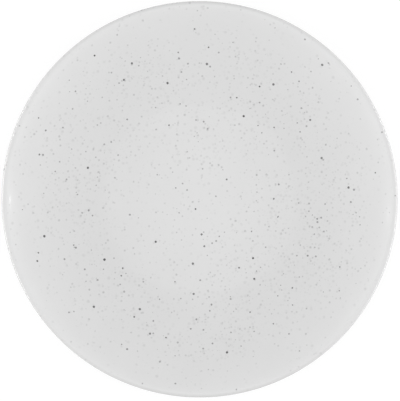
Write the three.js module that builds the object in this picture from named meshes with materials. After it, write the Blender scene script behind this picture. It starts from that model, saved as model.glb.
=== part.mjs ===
// A coupe soup plate in glazed stoneware. A clay body with a flat-floored well, a wall that sweeps up in one arc
// and a rolled lip stands on a clay foot ring. One coat of glaze covers the well, the wall and the lip, one the
// flank under the lip, and one the base inside the foot, and the foot is left bare where it meets the table.
// Millimetres, +Z up, origin on the table under the middle of the plate.
import * as THREE from "three";

// Driving dimensions of the finished plate
const plateDiameter = 220;
const plateHeight = 35;
const wellFloorDiameter = 80; // the flat middle of the well
const wallThickness = 3.4; // clay of the wall, and of the lip that is rolled from it
const floorThickness = 5; // clay under the well
const footDiameter = 114; // across the outside of the foot ring
const footWidth = 6.5; // through the ring's clay
const footHeight = 5; // from the table to the seam where the ring is luted on
const footEdgeRadius = 1.2; // on both edges of the face that the plate stands on
const glazeThickness = 0.4;
const dryBandHeight = 0.8; // bare clay between the rounded foot edge and the glaze
const glazePoolRadius = 1.4; // glaze gathered in the corners beside the foot

// Steps round the plate, and along each rounded stretch of a section
const turnSteps = 64;
const wallSteps = 8;
const lipCrownSteps = 3;
const lipShoulderSteps = 2;
const cornerSteps = 3;

// Heights and radii that follow from the driving dimensions
const clayFloorHeight = footHeight + floorThickness;
const wellFloorRadius = wellFloorDiameter / 2;
const footOuterRadius = footDiameter / 2;
const footInnerRadius = footOuterRadius - footWidth;
const glazeLineHeight = footEdgeRadius + dryBandHeight;

// The lip is a half round about lipCentre. The wall's arc is tangent to the well's floor and to the lip.
const lipRadius = wallThickness / 2;
const lipCentre = new THREE.Vector2(
  plateDiameter / 2 - glazeThickness - lipRadius,
  plateHeight - glazeThickness - lipRadius,
);
const wallReach = lipCentre.x - wellFloorRadius;
const wallRise = lipCentre.y - clayFloorHeight;
const wallRadius = (wallReach ** 2 + wallRise ** 2 - lipRadius ** 2) / (2 * (wallRise + lipRadius));
const wallCentre = new THREE.Vector2(wellFloorRadius, clayFloorHeight + wallRadius);
const wallTurn = Math.asin(wallReach / (wallRadius + lipRadius));
const flankRadius = wallRadius + wallThickness;
const down = -Math.PI / 2;

const clayMaterial = new THREE.MeshStandardMaterial({ color: 0xcfc8bd, roughness: 0.85, metalness: 0 });
const faceGlazeMaterial = new THREE.MeshStandardMaterial({ color: 0xe2e2e1, roughness: 0.16, metalness: 0 });
const underGlazeMaterial = new THREE.MeshStandardMaterial({ color: 0xdfdfde, roughness: 0.2, metalness: 0 });

// Points of a section along an arc, both ends included, with x as the radius and y as the height
function arcPoints(centre, radius, fromAngle, toAngle, steps) {
  const points = [];
  for (let step = 0; step <= steps; step += 1) {
    const angle = fromAngle + ((toAngle - fromAngle) * step) / steps;
    points.push(new THREE.Vector2(centre.x + radius * Math.cos(angle), centre.y + radius * Math.sin(angle)));
  }
  return points;
}

// The eating face from the middle of the well out over the lip, at a distance above the clay.
// The lip's points include its highest and its widest one, which give the plate its height and diameter.
function facePoints(cover) {
  const lipCover = lipRadius + cover;
  return [
    new THREE.Vector2(0, clayFloorHeight + cover),
    ...arcPoints(wallCentre, wallRadius - cover, down, down + wallTurn, wallSteps),
    ...arcPoints(lipCentre, lipCover, wallTurn - down, -down, lipShoulderSteps).slice(1),
    ...arcPoints(lipCentre, lipCover, -down, 0, lipCrownSteps).slice(1),
    ...arcPoints(lipCentre, lipCover, 0, wallTurn + down, lipShoulderSteps).slice(1),
  ];
}

// The clay under the lip, from the lip down to the side of the foot
function flankPoints() {
  const footTurn = Math.asin((footOuterRadius - wellFloorRadius) / flankRadius);
  return arcPoints(wallCentre, flankRadius, down + wallTurn, down + footTurn, wallSteps);
}

// Turns a section about the plate's axis. A section that doesn't end on the axis is closed into a ring.
function turnedMesh(name, section, material) {
  const onAxis = section[0].x === 0;
  const profile = onAxis ? section : [...section, section[0].clone()];
  const geometry = new THREE.LatheGeometry(profile, turnSteps);
  geometry.rotateX(Math.PI / 2);
  const mesh = new THREE.Mesh(geometry, material);
  mesh.name = name;
  return mesh;
}

// Clay body: well, wall, lip and flank, with a flat seat under the floor for the foot ring
function makeBody() {
  const seatEdge = new THREE.Vector2(footOuterRadius, footHeight);
  const seatMiddle = new THREE.Vector2(0, footHeight);
  const section = [...facePoints(0), ...flankPoints().slice(1), seatEdge, seatMiddle];
  return turnedMesh("stoneware_body", section.reverse(), clayMaterial);
}

// Clay foot ring: flat on the seat, and rounded on both edges of the face that it stands on
function makeFootRing() {
  const outerCentre = new THREE.Vector2(footOuterRadius - footEdgeRadius, footEdgeRadius);
  const innerCentre = new THREE.Vector2(footInnerRadius + footEdgeRadius, footEdgeRadius);
  const section = [
    new THREE.Vector2(footInnerRadius, footHeight),
    ...arcPoints(innerCentre, footEdgeRadius, -Math.PI, down, cornerSteps),
    ...arcPoints(outerCentre, footEdgeRadius, down, 0, cornerSteps),
    new THREE.Vector2(footOuterRadius, footHeight),
  ];
  return turnedMesh("foot_ring", section, clayMaterial);
}

// Coat over the well, the wall and the lip, ending on the underside of the lip
function makeFaceGlaze() {
  const section = [...facePoints(0), ...facePoints(glazeThickness).reverse()];
  return turnedMesh("face_glaze", section, faceGlazeMaterial);
}

// Coat from under the lip down the flank, gathered in the corner above the foot, to the glaze line on its side
function makeFlankGlaze() {
  const coatRadius = flankRadius + glazeThickness;
  const coatFootRadius = footOuterRadius + glazeThickness;
  const poolReach = coatFootRadius + glazePoolRadius - wellFloorRadius;
  const poolTurn = Math.asin(poolReach / (coatRadius + glazePoolRadius));
  const poolCentre = new THREE.Vector2(
    wellFloorRadius + poolReach,
    wallCentre.y - (coatRadius + glazePoolRadius) * Math.cos(poolTurn),
  );
  const section = [
    ...arcPoints(wallCentre, coatRadius, down + poolTurn, down + wallTurn, wallSteps),
    ...flankPoints(),
    new THREE.Vector2(footOuterRadius, footHeight),
    new THREE.Vector2(footOuterRadius, glazeLineHeight),
    new THREE.Vector2(coatFootRadius, glazeLineHeight),
    ...arcPoints(poolCentre, glazePoolRadius, Math.PI, poolTurn - down, cornerSteps).slice(0, -1),
  ];
  return turnedMesh("flank_glaze", section, underGlazeMaterial);
}

// Coat on the base inside the foot ring, gathered in the corner and turned down the ring's inner side
function makeBaseGlaze() {
  const coatHeight = footHeight - glazeThickness;
  const coatFootRadius = footInnerRadius - glazeThickness;
  const poolCentre = new THREE.Vector2(coatFootRadius - glazePoolRadius, coatHeight - glazePoolRadius);
  const section = [
    new THREE.Vector2(0, coatHeight),
    ...arcPoints(poolCentre, glazePoolRadius, -down, 0, cornerSteps),
    new THREE.Vector2(coatFootRadius, glazeLineHeight),
    new THREE.Vector2(footInnerRadius, glazeLineHeight),
    new THREE.Vector2(footInnerRadius, footHeight),
    new THREE.Vector2(0, footHeight),
  ];
  return turnedMesh("base_glaze", section, underGlazeMaterial);
}

const plate = new THREE.Group();
plate.add(makeBody(), makeFootRing(), makeFaceGlaze(), makeFlankGlaze(), makeBaseGlaze());

export default plate;
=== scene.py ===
import math

import bmesh
import bpy
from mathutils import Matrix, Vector


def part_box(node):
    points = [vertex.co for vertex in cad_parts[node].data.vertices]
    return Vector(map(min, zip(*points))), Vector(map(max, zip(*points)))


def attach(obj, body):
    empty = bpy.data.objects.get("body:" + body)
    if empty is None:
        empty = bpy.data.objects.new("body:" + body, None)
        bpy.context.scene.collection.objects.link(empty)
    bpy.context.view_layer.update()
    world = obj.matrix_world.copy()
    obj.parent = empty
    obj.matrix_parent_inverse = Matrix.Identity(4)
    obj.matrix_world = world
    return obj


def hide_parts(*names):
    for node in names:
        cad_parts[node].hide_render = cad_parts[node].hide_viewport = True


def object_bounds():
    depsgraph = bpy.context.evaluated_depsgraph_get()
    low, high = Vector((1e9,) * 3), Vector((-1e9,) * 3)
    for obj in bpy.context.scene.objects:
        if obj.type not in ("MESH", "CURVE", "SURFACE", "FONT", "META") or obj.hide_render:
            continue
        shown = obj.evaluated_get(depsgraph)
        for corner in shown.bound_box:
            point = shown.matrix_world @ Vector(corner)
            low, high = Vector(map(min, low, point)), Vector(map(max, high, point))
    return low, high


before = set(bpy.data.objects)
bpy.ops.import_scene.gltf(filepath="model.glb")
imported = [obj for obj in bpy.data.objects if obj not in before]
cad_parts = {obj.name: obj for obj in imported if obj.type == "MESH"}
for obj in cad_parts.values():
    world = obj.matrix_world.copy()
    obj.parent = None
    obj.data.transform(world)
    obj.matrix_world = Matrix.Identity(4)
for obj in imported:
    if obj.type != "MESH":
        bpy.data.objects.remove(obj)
cadLow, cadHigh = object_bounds()
mm = 0.001

# What the frame says of the plate: outer sizes, the clay inside the glaze and the foot
bodyLow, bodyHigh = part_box("stoneware_body")
ringLow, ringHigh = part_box("foot_ring")
baseLow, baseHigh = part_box("base_glaze")
glazeThickness = cadHigh.z - bodyHigh.z
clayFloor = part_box("face_glaze")[0].z  # top of the clay under the well
seatHeight = bodyLow.z  # where the foot ring is luted on
footOuter, footInner = ringHigh.x, baseHigh.x
glazeLine = baseLow.z  # the foot is bare below this

# The section of the plate. Points are (radius, height) pairs in the XZ plane.
plateSection = {
    "wallThickness": 3.4 * mm,
    "wellFloorRadius": 40 * mm,
    "footEdgeRadius": 1.2 * mm,
    "glazePoolRadius": 1.4 * mm,
    "turnSteps": 240,  # round the plate
    "wallSteps": 32,
    "lipSteps": 28,
    "cornerSteps": 8,
    "hiddenSteps": 12,  # along the clay side of a coat, which nobody sees
    "creaseAngle": 35,  # degrees, past which an edge stays sharp
    "mergeDistance": 0.001 * mm,
}
wellRadius = plateSection["wellFloorRadius"]
wallThickness = plateSection["wallThickness"]
lipRadius = wallThickness / 2
lipCentre = (bodyHigh.x - lipRadius, bodyHigh.z - lipRadius)
wallReach = lipCentre[0] - wellRadius
wallRise = lipCentre[1] - clayFloor
wallRadius = (wallReach**2 + wallRise**2 - lipRadius**2) / (2 * (wallRise + lipRadius))
wallCentre = (wellRadius, clayFloor + wallRadius)
wallTurn = math.asin(wallReach / (wallRadius + lipRadius))
flankRadius = wallRadius + wallThickness
footTurn = math.asin((footOuter - wellRadius) / flankRadius)
print("section: wall arc %.1f mm, tilt at the lip %.1f degrees" % (wallRadius / mm, math.degrees(wallTurn)))


def onWallArc(radius, turn):  # a point about the wall's centre, turned outwards from straight below it
    return wallCentre[0] + radius * math.sin(turn), wallCentre[1] - radius * math.cos(turn)


# Outline tools: an outline grows from its last point, by straight runs and by arcs
def startOutline(radius, height):
    bm = bmesh.new()
    for side in ("shown", "hidden"):
        bm.verts.layers.float.new(side)  # how far out on the map a point lies, plus 1
    return bm, bm.verts.new((radius, 0, height))


def runTo(bm, tip, radius, height):
    grown = bmesh.ops.extrude_vert_indiv(bm, verts=[tip])["verts"][0]
    grown.co = (radius, 0, height)
    return grown


def sweepRound(bm, tip, centre, turn, steps):  # positive turns from +X towards +Z
    pivot = (centre[0], 0, centre[1])
    swept = bmesh.ops.spin(bm, geom=[tip], cent=pivot, axis=(0, -1, 0), angle=turn, steps=steps)
    return next(part for part in swept["geom_last"] if isinstance(part, bmesh.types.BMVert))


def walkOutline(first):  # the points of an open outline, in order
    points, came = [first], None
    while True:
        ahead = [edge for edge in points[-1].link_edges if edge != came]
        if not ahead:
            return points
        came = ahead[0]
        points.append(came.other_vert(points[-1]))


def markReach(bm, side, points, reach):  # spreads the points over the map by their distance along the outline
    layer = bm.verts.layers.float[side]
    travelled = [0.0]
    for here, there in zip(points, points[1:]):
        travelled.append(travelled[-1] + (there.co - here.co).length)
    for point, distance in zip(points, travelled):
        point[layer] = 1 + reach[0] + (reach[1] - reach[0]) * distance / travelled[-1]


def layFlat(bm, piece):  # the map: both sides of the piece seen along the axis, stretched flat
    middles = {"shown": Vector((0.5, 0.5)), "hidden": Vector(piece["hiddenMiddle"])}
    layers = {side: bm.verts.layers.float[side] for side in middles}
    flat = bm.loops.layers.uv.new("OFBake")
    for face in bm.faces:
        onShownSide = all(vert[layers["shown"]] > 0 for vert in face.verts)
        side = "shown" if onShownSide else "hidden"
        for loop in face.loops:
            outward = loop.vert.co.xy.normalized()
            loop[flat].uv = middles[side] + outward * (loop.vert[layers[side]] - 1)


def turnOnWheel(bm, first, rim, piece, material):  # the shown side runs from first to rim
    points = walkOutline(first)
    split = points.index(rim)
    closed = points[-1].co.x > plateSection["mergeDistance"]
    if closed:
        bm.edges.new((points[-1], first))
    markReach(bm, "shown", points[:split + 1], piece["shown"])
    markReach(bm, "hidden", points[split:] + ([first] if closed else []), piece["hidden"])
    bmesh.ops.spin(
        bm, geom=bm.verts[:] + bm.edges[:], cent=(0, 0, 0), axis=(0, 0, 1),
        angle=math.tau, steps=plateSection["turnSteps"], use_merge=True,
    )
    bmesh.ops.remove_doubles(bm, verts=bm.verts, dist=plateSection["mergeDistance"])
    bmesh.ops.recalc_face_normals(bm, faces=bm.faces)
    layFlat(bm, piece)
    mesh = bpy.data.meshes.new(piece["name"])
    bm.to_mesh(mesh)
    bm.free()
    for side in ("shown", "hidden"):
        mesh.attributes.remove(mesh.attributes[side])
    mesh.shade_smooth()
    mesh.set_sharp_from_angle(angle=math.radians(plateSection["creaseAngle"]))
    mesh.materials.append(material)
    turned = bpy.data.objects.new(piece["name"], mesh)
    bpy.context.scene.collection.objects.link(turned)
    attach(turned, "root")
    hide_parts(piece["node"])
    print("turned", piece["name"], len(mesh.polygons), "faces")


# Node helpers
def addNode(tree, kind, place, **settings):
    node = tree.nodes.new(kind)
    node.location = place
    for key, value in settings.items():
        setattr(node, key, value)
    return node


def feed(tree, socket, value):  # takes another node's output or a plain value
    if isinstance(value, bpy.types.NodeSocket):
        tree.links.new(value, socket)
    else:
        socket.default_value = value


def mathNode(tree, operation, place, *values):
    node = addNode(tree, "ShaderNodeMath", place, operation=operation)
    for socket, value in zip(node.inputs, values):
        feed(tree, socket, value)
    return node.outputs[0]


def vectorNode(tree, operation, place, *values):
    node = addNode(tree, "ShaderNodeVectorMath", place, operation=operation)
    for socket, value in zip(node.inputs, values):
        feed(tree, socket, value)
    return node.outputs["Vector"]


def scaleVector(tree, place, vector, scale):
    node = addNode(tree, "ShaderNodeVectorMath", place, operation="SCALE")
    feed(tree, node.inputs["Vector"], vector)
    feed(tree, node.inputs["Scale"], scale)
    return node.outputs["Vector"]


def rangeNode(tree, place, value, limits, curve="LINEAR"):  # limits: from low and high, to low and high
    node = addNode(tree, "ShaderNodeMapRange", place, interpolation_type=curve)
    feed(tree, node.inputs["Value"], value)
    for label, limit in zip(("From Min", "From Max", "To Min", "To Max"), limits):
        feed(tree, node.inputs[label], limit)
    return node.outputs[0]


def mixColours(tree, place, factor, first, second):
    node = addNode(tree, "ShaderNodeMix", place, data_type="RGBA")
    for label, value in (("Factor", factor), ("A", first), ("B", second)):
        feed(tree, node.inputs[label], value)
    return node.outputs["Result"]


def noiseNode(tree, place, vector, scale, detail):
    node = addNode(tree, "ShaderNodeTexNoise", place)
    for label, value in (("Vector", vector), ("Scale", scale), ("Detail", detail)):
        feed(tree, node.inputs[label], value)
    return node.outputs


def bumpNode(tree, place, height, strength, depth):
    node = addNode(tree, "ShaderNodeBump", place)
    for label, value in (("Height", height), ("Strength", strength), ("Distance", depth)):
        feed(tree, node.inputs[label], value)
    return node.outputs["Normal"]


def newGroup(name, inputs, outputs):
    group = bpy.data.node_groups.new(name, "ShaderNodeTree")
    for label, kind, value in inputs:
        socket = group.interface.new_socket(label, in_out="INPUT", socket_type=kind)
        if value is not None:
            socket.default_value = value
    for label, kind in outputs:
        group.interface.new_socket(label, in_out="OUTPUT", socket_type=kind)
    start = addNode(group, "NodeGroupInput", (-1000, 0))
    end = addNode(group, "NodeGroupOutput", (800, 0))
    return group, start.outputs, end.inputs


def placeGroup(tree, group, place, values):
    node = addNode(tree, "ShaderNodeGroup", place, node_tree=group)
    for label, value in values.items():
        feed(tree, node.inputs[label], value)
    return node.outputs


def newMaterial(name):
    material = bpy.data.materials.new(name)
    material.use_nodes = True
    tree = material.node_tree
    return material, tree, tree.nodes["Principled BSDF"].inputs


# What the shared patterns are made of. Scales are per millimetre.
patterns = {
    "ragged": (1.6, 2.0),  # scale and detail of the noise that nudges the edges of specks
    "skin": {  # scale and detail of the noises in the glaze
        "Mottle": (0.055, 4.0),  # slow change of tone
        "Peel": (0.32, 2.0),  # the slight orange peel of a melted coat
        "Drift": (0.035, 2.0),  # where specks gather
    },
    "speckSwell": 0.7,  # below 1, more of the specks come near the largest size
}


# Coordinates in millimetres, plain and nudged by a fine noise so that specks aren't round
def makeCoordinateGroup():
    group, start, end = newGroup(
        "glazeCoordinates",
        [("Ragged mm", "NodeSocketFloat", 0.2)],
        [("Plain", "NodeSocketVector"), ("Ragged", "NodeSocketVector"), ("Radius", "NodeSocketFloat")],
    )
    coordinates = addNode(group, "ShaderNodeTexCoord", (-1000, -200))
    inMm = scaleVector(group, (-800, -200), coordinates.outputs["Object"], 1 / mm)
    noise = noiseNode(group, (-600, -350), inMm, *patterns["ragged"])["Color"]
    centred = vectorNode(group, "SUBTRACT", (-400, -350), noise, (0.5, 0.5, 0.5))
    nudge = scaleVector(group, (-200, -350), centred, start["Ragged mm"])
    ragged = vectorNode(group, "ADD", (0, -200), inMm, nudge)
    flat = vectorNode(group, "MULTIPLY", (-600, 100), inMm, (1, 1, 0))
    reach = addNode(group, "ShaderNodeVectorMath", (-400, 100), operation="LENGTH")
    group.links.new(flat, reach.inputs[0])
    group.links.new(inMm, end["Plain"])
    group.links.new(ragged, end["Ragged"])
    group.links.new(reach.outputs["Value"], end["Radius"])
    return group


# One size of speck: a share of the cells of a pattern hold one, up to the radius given
def makeSpeckGroup():
    group, start, end = newGroup(
        "ironSpecks",
        [
            ("Vector", "NodeSocketVector", None),
            ("Shift mm", "NodeSocketVector", None),
            ("Turn", "NodeSocketVector", None),
            ("Spacing mm", "NodeSocketFloat", 3.0),
            ("Radius mm", "NodeSocketFloat", 0.7),
            ("Edge mm", "NodeSocketFloat", 0.25),
            ("Share", "NodeSocketFloat", 0.9),
            ("Least tone", "NodeSocketFloat", 0.1),
            ("Most tone", "NodeSocketFloat", 1.0),
        ],
        [("Mask", "NodeSocketFloat")],
    )
    scale = mathNode(group, "DIVIDE", (-800, -150), 1.0, start["Spacing mm"])
    turned = addNode(group, "ShaderNodeMapping", (-800, 100))  # tilted, so that specks don't stand in rows
    for label, value in (("Vector", "Vector"), ("Location", "Shift mm"), ("Rotation", "Turn")):
        group.links.new(start[value], turned.inputs[label])
    cells = addNode(group, "ShaderNodeTexVoronoi", (-600, 0), voronoi_dimensions="3D", feature="F1")
    group.links.new(turned.outputs[0], cells.inputs["Vector"])
    group.links.new(scale, cells.inputs["Scale"])
    chance = addNode(group, "ShaderNodeSeparateColor", (-400, -200))
    group.links.new(cells.outputs["Color"], chance.inputs[0])
    distance = mathNode(group, "MULTIPLY", (-400, 100), cells.outputs["Distance"], start["Spacing mm"])
    empty = mathNode(group, "SUBTRACT", (-400, -400), 1.0, start["Share"])
    size = rangeNode(group, (-200, -200), chance.outputs[0], (empty, 1, 0, 1))  # 0 in a cell with no speck
    swell = mathNode(group, "POWER", (0, -200), size, patterns["speckSwell"])
    radius = mathNode(group, "MULTIPLY", (150, -100), swell, start["Radius mm"])
    depth = mathNode(group, "SUBTRACT", (300, 0), radius, distance)
    inside = rangeNode(group, (450, 0), depth, (0, start["Edge mm"], 0, 1), "SMOOTHSTEP")
    tone = rangeNode(group, (300, -350), chance.outputs[1], (0, 1, start["Least tone"], start["Most tone"]))
    group.links.new(mathNode(group, "MULTIPLY", (620, -100), inside, tone), end["Mask"])
    return group


# The skin of the glaze: one slow or fine noise for each thing that varies over it
def makeSkinGroup():
    group, start, end = newGroup(
        "glazeSkin",
        [("Vector", "NodeSocketVector", None)],
        [(label, "NodeSocketFloat") for label in patterns["skin"]],
    )
    for i, (label, (scale, detail)) in enumerate(patterns["skin"].items()):
        noise = noiseNode(group, (-300, 200 - 300 * i), start["Vector"], scale, detail)
        group.links.new(noise[0], end[label])
    return group


coordinateGroup = makeCoordinateGroup()
speckGroup = makeSpeckGroup()
skinGroup = makeSkinGroup()

# Specks, from the plain ones at the surface to the faint ones deep in the glaze
speckLayers = [
    {
        "Shift mm": (41.0, 23.0, 67.0), "Turn": (0.5, 0.9, 0.3), "Spacing mm": 5.4,
        "Radius mm": 0.82, "Edge mm": 0.16, "Share": 0.5, "Least tone": 0.75, "Most tone": 1.0,
    },
    {
        "Shift mm": (31.0, 17.0, 5.0), "Turn": (0.7, 0.4, 1.1), "Spacing mm": 2.95,
        "Radius mm": 0.82, "Edge mm": 0.46, "Share": 0.8, "Least tone": 0.1, "Most tone": 0.75,
    },
    {
        "Shift mm": (-53.0, 71.0, 11.0), "Turn": (0.4, 0.6, 0.7), "Spacing mm": 2.0,
        "Radius mm": 1.05, "Edge mm": 0.8, "Share": 0.8, "Least tone": 0.06, "Most tone": 0.3,
    },
    {
        "Shift mm": (97.0, -43.0, 23.0), "Turn": (0.8, 0.5, 0.2), "Spacing mm": 2.3,
        "Radius mm": 1.45, "Edge mm": 1.2, "Share": 0.85, "Least tone": 0.04, "Most tone": 0.14,
    },
]


def makeGlaze(name, finish):
    material, tree, surface = newMaterial(name)
    surface["IOR"].default_value = finish["ior"]
    surface["Coat Weight"].default_value = finish["coat"]
    surface["Coat Roughness"].default_value = finish["coatRoughness"]
    where = placeGroup(tree, coordinateGroup, (-1500, 0), {"Ragged mm": finish["ragged"]})
    skin = placeGroup(tree, skinGroup, (-1500, -500), {"Vector": where["Plain"]})

    # All specks thin out near the lip. The fainter ones also do in the middle, and gather in loose patches.
    nearLip = rangeNode(tree, (-1300, 200), where["Radius"], finish["lipThinning"], "SMOOTHSTEP")
    inMiddle = rangeNode(tree, (-1300, -100), where["Radius"], finish["middleThinning"], "SMOOTHSTEP")
    drift = rangeNode(tree, (-1300, -400), skin["Drift"], finish["drift"])
    patches = mathNode(tree, "MULTIPLY", (-1200, -300), inMiddle, drift)
    fainter = mathNode(tree, "MULTIPLY", (-1150, 0), nearLip, patches)
    specks = None
    for i, layer in enumerate(speckLayers):
        spread = nearLip if i == 0 else fainter  # the plain dark specks come first
        share = mathNode(tree, "MULTIPLY", (-1100, -180 * i), spread, layer["Share"])
        values = {**layer, "Share": share, "Vector": where["Ragged"]}
        mask = placeGroup(tree, speckGroup, (-900, -180 * i), values)["Mask"]
        specks = mask if specks is None else mathNode(tree, "MAXIMUM", (-700, -180 * i), specks, mask)

    # Darker towards the outer edge of the lip: over its last two millimetres the tone is mixed up to a fifth of
    # the way to a grey
    mottle = mixColours(tree, (-600, -500), skin["Mottle"], finish["thin"], finish["thick"])
    edge = rangeNode(tree, (-600, -250), where["Radius"], finish["lipEdgeDarkening"], "SMOOTHSTEP")
    lipEdgeDarkened = mixColours(tree, (-480, -250), edge, mottle, finish["bare"])
    feed(tree, surface["Base Color"], mixColours(tree, (-350, 0), specks, lipEdgeDarkened, finish["speck"]))
    rough = mathNode(tree, "MULTIPLY_ADD", (-350, -250), specks, finish["speckRoughness"], finish["roughness"])
    feed(tree, surface["Roughness"], rough)
    pitted = mathNode(tree, "MULTIPLY_ADD", (-400, -450), specks, -finish["speckPit"], skin["Peel"])
    feed(tree, surface["Normal"], bumpNode(tree, (-200, -450), pitted, finish["peel"], finish["peelDepth"]))
    return material


# Radii in millimetres. A range is (from low, from high, to low, to high).
bothFinishes = {
    "speck": (0.03, 0.03, 0.03, 1), "ragged": 0.5, "speckRoughness": 0.12, "speckPit": 0.15,
    "ior": 1.5, "coat": 0.4, "coatRoughness": 0.06, "peelDepth": 0.3 * mm,
    "drift": (0.3, 0.7, 0.45, 1.55),
    # The grey and the range on the next line darken the outer edge of the lip
    "bare": (0.42, 0.415, 0.405, 1), "lipEdgeDarkening": (107.6, 109.4, 0, 0.2),
}
faceFinish = {
    **bothFinishes,
    "thin": (0.735, 0.735, 0.735, 1), "thick": (0.765, 0.765, 0.765, 1),
    "roughness": 0.2, "peel": 0.1,
    "middleThinning": (0, 70, 0.55, 1.0), "lipThinning": (76, 104, 1.0, 0.26),
}
outerFinish = {
    **bothFinishes,
    "thin": (0.72, 0.72, 0.72, 1), "thick": (0.75, 0.75, 0.75, 1),
    "roughness": 0.22, "peel": 0.12,
    "middleThinning": (0, 70, 1.0, 1.0), "lipThinning": (96, 108, 1.0, 0.22),
}
faceGlazeFinish = makeGlaze("speckledFaceGlaze", faceFinish)
outerGlazeFinish = makeGlaze("speckledOuterGlaze", outerFinish)


# Bare fired clay: warm grey, sandy, with a few iron grains
def makeClay(name, finish):
    material, tree, surface = newMaterial(name)
    where = placeGroup(tree, coordinateGroup, (-1300, 0), {"Ragged mm": finish["ragged"]})
    sand = noiseNode(tree, (-900, -200), where["Plain"], *finish["sand"])[0]
    tint = mixColours(tree, (-600, 0), sand, finish["dark"], finish["light"])
    grains = placeGroup(tree, speckGroup, (-900, 150), {**finish["grains"], "Vector": where["Ragged"]})["Mask"]
    feed(tree, surface["Base Color"], mixColours(tree, (-350, 0), grains, tint, finish["grain"]))
    rough = mathNode(tree, "MULTIPLY_ADD", (-350, -250), sand, finish["sandRoughness"], finish["roughness"])
    feed(tree, surface["Roughness"], rough)
    feed(tree, surface["Normal"], bumpNode(tree, (-200, -450), sand, finish["bump"], finish["bumpDepth"]))
    return material


clayFinish = {
    "dark": (0.46, 0.43, 0.385, 1), "light": (0.6, 0.57, 0.52, 1), "sand": (3.5, 4.0),  # noise scale and detail
    "grain": (0.09, 0.08, 0.07, 1), "grains": speckLayers[1], "ragged": 0.15,
    "roughness": 0.72, "sandRoughness": 0.2, "bump": 0.5, "bumpDepth": 0.15 * mm,
}
bareClay = makeClay("bareStonewareClay", clayFinish)
print("finishes: speckled face glaze, speckled outer glaze, bare clay")


# Eating face and lip, out to the underside of the lip, at a distance above the clay
def drawFace(bm, tip, cover, wallSteps, lipSteps):
    tip = runTo(bm, tip, wellRadius, clayFloor + cover)
    tip = sweepRound(bm, tip, wallCentre, wallTurn, wallSteps)
    return sweepRound(bm, tip, lipCentre, -math.pi, lipSteps)


# On the map, shown and hidden give where each side of a piece starts and ends, out from its middle
bodyPiece = {
    "name": "clayBody", "node": "stoneware_body", "slot": "clay",
    "shown": (0, 0.42), "hidden": (0.075, 0), "hiddenMiddle": (0.08, 0.08),
}


def makeBody(piece):
    steps = plateSection["hiddenSteps"]
    bm, first = startOutline(0, clayFloor)
    tip = drawFace(bm, first, 0, steps, steps)
    tip = sweepRound(bm, tip, wallCentre, footTurn - wallTurn, steps)
    rim = runTo(bm, tip, footOuter, seatHeight)
    runTo(bm, rim, 0, seatHeight)
    turnOnWheel(bm, first, rim, piece, bareClay)


footRingPiece = {
    "name": "clayFootRing", "node": "foot_ring", "slot": "clay",
    "shown": (0.26, 0.49), "hidden": (0.2, 0.08), "hiddenMiddle": (0.5, 0.5),
}


def makeFootRing(piece):
    edge = plateSection["footEdgeRadius"]
    steps = plateSection["cornerSteps"]
    bm, first = startOutline(footInner, seatHeight)
    tip = runTo(bm, first, footInner, edge)
    tip = sweepRound(bm, tip, (footInner + edge, edge), math.pi / 2, steps)
    tip = runTo(bm, tip, footOuter - edge, 0)
    tip = sweepRound(bm, tip, (footOuter - edge, edge), math.pi / 2, steps)
    rim = runTo(bm, tip, footOuter, seatHeight)
    turnOnWheel(bm, first, rim, piece, bareClay)


faceGlazePiece = {
    "name": "glazeOfFaceAndLip", "node": "face_glaze", "slot": "face_glaze",
    "shown": (0, 0.49), "hidden": (0.068, 0), "hiddenMiddle": (0.075, 0.075),
}


def makeFaceGlaze(piece):
    steps = plateSection["hiddenSteps"]
    bm, first = startOutline(0, clayFloor + glazeThickness)
    rim = drawFace(bm, first, glazeThickness, plateSection["wallSteps"], plateSection["lipSteps"])
    tip = runTo(bm, rim, *onWallArc(flankRadius, wallTurn))
    tip = sweepRound(bm, tip, lipCentre, math.pi, steps)
    tip = sweepRound(bm, tip, wallCentre, -wallTurn, steps)
    runTo(bm, tip, 0, clayFloor)
    turnOnWheel(bm, first, rim, piece, faceGlazeFinish)


flankGlazePiece = {
    "name": "glazeOfFlank", "node": "flank_glaze", "slot": "outer_glaze",
    "shown": (0.49, 0.235), "hidden": (0.05, 0.2), "hiddenMiddle": (0.5, 0.5),
}


def makeFlankGlaze(piece):
    steps = plateSection["cornerSteps"]
    pool = plateSection["glazePoolRadius"]
    bead = glazeThickness / 2  # the coat ends in a rounded bead
    coatRadius = flankRadius + glazeThickness
    coatFoot = footOuter + glazeThickness
    poolTurn = math.asin((coatFoot + pool - wellRadius) / (coatRadius + pool))
    bm, first = startOutline(*onWallArc(coatRadius, wallTurn))
    tip = sweepRound(bm, first, wallCentre, poolTurn - wallTurn, plateSection["wallSteps"])
    tip = sweepRound(bm, tip, onWallArc(coatRadius + pool, poolTurn), math.pi / 2 - poolTurn, steps)
    tip = runTo(bm, tip, coatFoot, glazeLine + bead)
    rim = sweepRound(bm, tip, (footOuter + bead, glazeLine + bead), -math.pi, steps)
    tip = runTo(bm, rim, *onWallArc(flankRadius, footTurn))
    sweepRound(bm, tip, wallCentre, wallTurn - footTurn, plateSection["hiddenSteps"])
    turnOnWheel(bm, first, rim, piece, outerGlazeFinish)


baseGlazePiece = {
    "name": "glazeOfBase", "node": "base_glaze", "slot": "outer_glaze",
    "shown": (0, 0.49), "hidden": (0.068, 0), "hiddenMiddle": (0.075, 0.075),
}


def makeBaseGlaze(piece):
    steps = plateSection["cornerSteps"]
    pool = plateSection["glazePoolRadius"]
    bead = glazeThickness / 2
    coatFoot = footInner - glazeThickness
    coatHeight = seatHeight - glazeThickness
    bm, first = startOutline(0, coatHeight)
    tip = runTo(bm, first, coatFoot - pool, coatHeight)
    tip = sweepRound(bm, tip, (coatFoot - pool, coatHeight - pool), -math.pi / 2, steps)
    tip = runTo(bm, tip, coatFoot, glazeLine + bead)
    rim = sweepRound(bm, tip, (footInner - bead, glazeLine + bead), math.pi, steps)
    tip = runTo(bm, rim, footInner, seatHeight)
    runTo(bm, tip, 0, seatHeight)
    turnOnWheel(bm, first, rim, piece, outerGlazeFinish)


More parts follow.
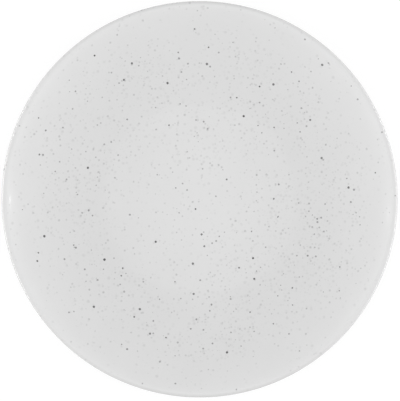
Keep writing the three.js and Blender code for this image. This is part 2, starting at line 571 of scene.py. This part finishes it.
makeBody(bodyPiece)
makeFootRing(footRingPiece)
makeFaceGlaze(faceGlazePiece)
makeFlankGlaze(flankGlazePiece)
makeBaseGlaze(baseGlazePiece)

# Studio: a white sweep under an even dome. Long low softboxes at the two sides brighten the wall towards the lip,
# fills that no reflection shows lift the rest of it, small sparks make the streaks by the lip, thin strips at lip
# height light its edge, and one lamp hangs overhead.
studio = {
    "dome": 0.891,
    "floorSize": 4.0,  # metres
    "floorTone": 0.15,  # what the floor gives back to the plate
    "floorGlow": 0.8,  # white to the eye, with the rest left to take the shadow
    "floorShade": 0.26,
    "lampDistance": 1.0,
    "lamps": [
        {"name": "left", "azimuth": 180, "elevation": 4, "size": (1.5, 0.12), "watts": 1.62},
        {"name": "right", "azimuth": 0, "elevation": 4, "size": (1.5, 0.12), "watts": 1.62},
        {"name": "leftFill", "azimuth": 180, "elevation": 16, "size": (0.4, 0.12), "watts": 0.66},
        {"name": "rightFill", "azimuth": 0, "elevation": 16, "size": (0.4, 0.12), "watts": 0.66},
        {"name": "frontFill", "azimuth": 270, "elevation": 16, "size": (0.4, 0.12), "watts": 0.38},
        {"name": "leftSpark", "azimuth": 175.6, "elevation": 22.4, "size": (0.06, 0.03), "watts": 0.026},
        {"name": "rightSpark", "azimuth": 0.8, "elevation": 22.4, "size": (0.045, 0.025), "watts": 0.055},
        {"name": "leftEdge", "azimuth": 180, "elevation": 0, "size": (1.2, 0.05), "watts": 1.9},
        {"name": "rightEdge", "azimuth": 0, "elevation": 0, "size": (1.2, 0.05), "watts": 1.9},
        {"name": "overhead", "azimuth": 0, "elevation": 90, "size": (0.3, 0.3), "watts": 0.12},
    ],
    "unmirrored": ("leftFill", "rightFill", "frontFill"),
}


def grey(tone):
    return (tone, tone, tone, 1)


def seenDirectly(tree):  # 1 for what the eye, gloss or glass sees, 0 for light falling on the plate
    path = addNode(tree, "ShaderNodeLightPath", (-700, 300))
    either = mathNode(tree, "MAXIMUM", (-500, 300), path.outputs["Is Camera Ray"], path.outputs["Is Glossy Ray"])
    return mathNode(tree, "MAXIMUM", (-350, 300), either, path.outputs["Is Transmission Ray"])


def pickSeen(tree, place, unseen, seen):  # one shader for light falling on the plate, one for what is seen
    pick = addNode(tree, "ShaderNodeMixShader", place)
    for socket, output in zip(pick.inputs, (seenDirectly(tree), unseen.outputs[0], seen.outputs[0])):
        tree.links.new(output, socket)
    return pick.outputs[0]


def makeFloor():
    bm = bmesh.new()
    bmesh.ops.create_grid(bm, x_segments=1, y_segments=1, size=studio["floorSize"])
    mesh = bpy.data.meshes.new("studioFloor")
    bm.to_mesh(mesh)
    bm.free()
    material = bpy.data.materials.new("whiteSweep")
    material.use_nodes = True
    tree = material.node_tree
    tree.nodes.remove(tree.nodes["Principled BSDF"])
    tone = addNode(tree, "ShaderNodeBsdfDiffuse", (-300, 0))
    tone.inputs["Color"].default_value = grey(studio["floorTone"])
    shade = addNode(tree, "ShaderNodeBsdfDiffuse", (-500, -150))
    shade.inputs["Color"].default_value = grey(studio["floorShade"])
    glow = addNode(tree, "ShaderNodeEmission", (-500, -300))
    glow.inputs["Strength"].default_value = studio["floorGlow"]
    white = addNode(tree, "ShaderNodeAddShader", (-300, -200))
    tree.links.new(shade.outputs[0], white.inputs[0])
    tree.links.new(glow.outputs[0], white.inputs[1])
    tree.links.new(pickSeen(tree, (0, 0), tone, white), tree.nodes["Material Output"].inputs["Surface"])
    mesh.materials.append(material)
    floor = bpy.data.objects.new("studioFloor", mesh)
    bpy.context.scene.collection.objects.link(floor)


def makeDome():
    world = bpy.data.worlds.new("studioDome")
    world.use_nodes = True
    tree = world.node_tree
    light = tree.nodes["Background"]
    light.inputs["Color"].default_value = grey(studio["dome"])
    backdrop = addNode(tree, "ShaderNodeBackground", (-200, -200))
    backdrop.inputs["Color"].default_value = grey(1)
    tree.links.new(pickSeen(tree, (100, 0), light, backdrop), tree.nodes["World Output"].inputs["Surface"])
    bpy.context.scene.world = world


def hangLamp(lamp):
    around, above = math.radians(lamp["azimuth"]), math.radians(lamp["elevation"])
    aim = Vector((0, 0, cadHigh.z))
    toLamp = Vector((math.cos(around) * math.cos(above), math.sin(around) * math.cos(above), math.sin(above)))
    light = bpy.data.lights.new(lamp["name"] + "Softbox", "AREA")
    light.shape = "RECTANGLE"
    light.size, light.size_y = lamp["size"]
    light.energy = lamp["watts"]
    softbox = bpy.data.objects.new(light.name, light)
    softbox.location = aim + toLamp * studio["lampDistance"]
    softbox.rotation_mode = "QUATERNION"
    softbox.rotation_quaternion = (-toLamp).to_track_quat("-Z", "Y")
    softbox.visible_camera = False
    softbox.visible_glossy = lamp["name"] not in studio["unmirrored"]
    bpy.context.scene.collection.objects.link(softbox)


makeFloor()
makeDome()
for lamp in studio["lamps"]:
    hangLamp(lamp)
print("studio:", len(studio["lamps"]), "softboxes")

# Camera: straight down over the plate, framed as the photograph is
shot = {
    "lens": 120.0,
    "frame": (400, 401),  # pixels
    "plateRadius": 198.15,  # pixels
    "plateOffset": (-0.43, -1.22),  # pixels right and down of the frame's middle
}
camera = bpy.data.cameras.new("overheadCamera")
camera.lens = shot["lens"]
longSide = max(shot["frame"])
frameWidth = cadHigh.x / shot["plateRadius"] * longSide  # metres across the long side, at the widest of the lip
distance = frameWidth * camera.lens / camera.sensor_width
camera.shift_x = -shot["plateOffset"][0] / longSide
camera.shift_y = shot["plateOffset"][1] / longSide
cameraStand = bpy.data.objects.new("overheadCamera", camera)
cameraStand.location = (0, 0, lipCentre[1] + distance)
bpy.context.scene.collection.objects.link(cameraStand)
bpy.context.scene.camera = cameraStand
bpy.context.scene.view_settings.view_transform = "Standard"
print("camera: %.0f mm above the lip" % (distance / mm))
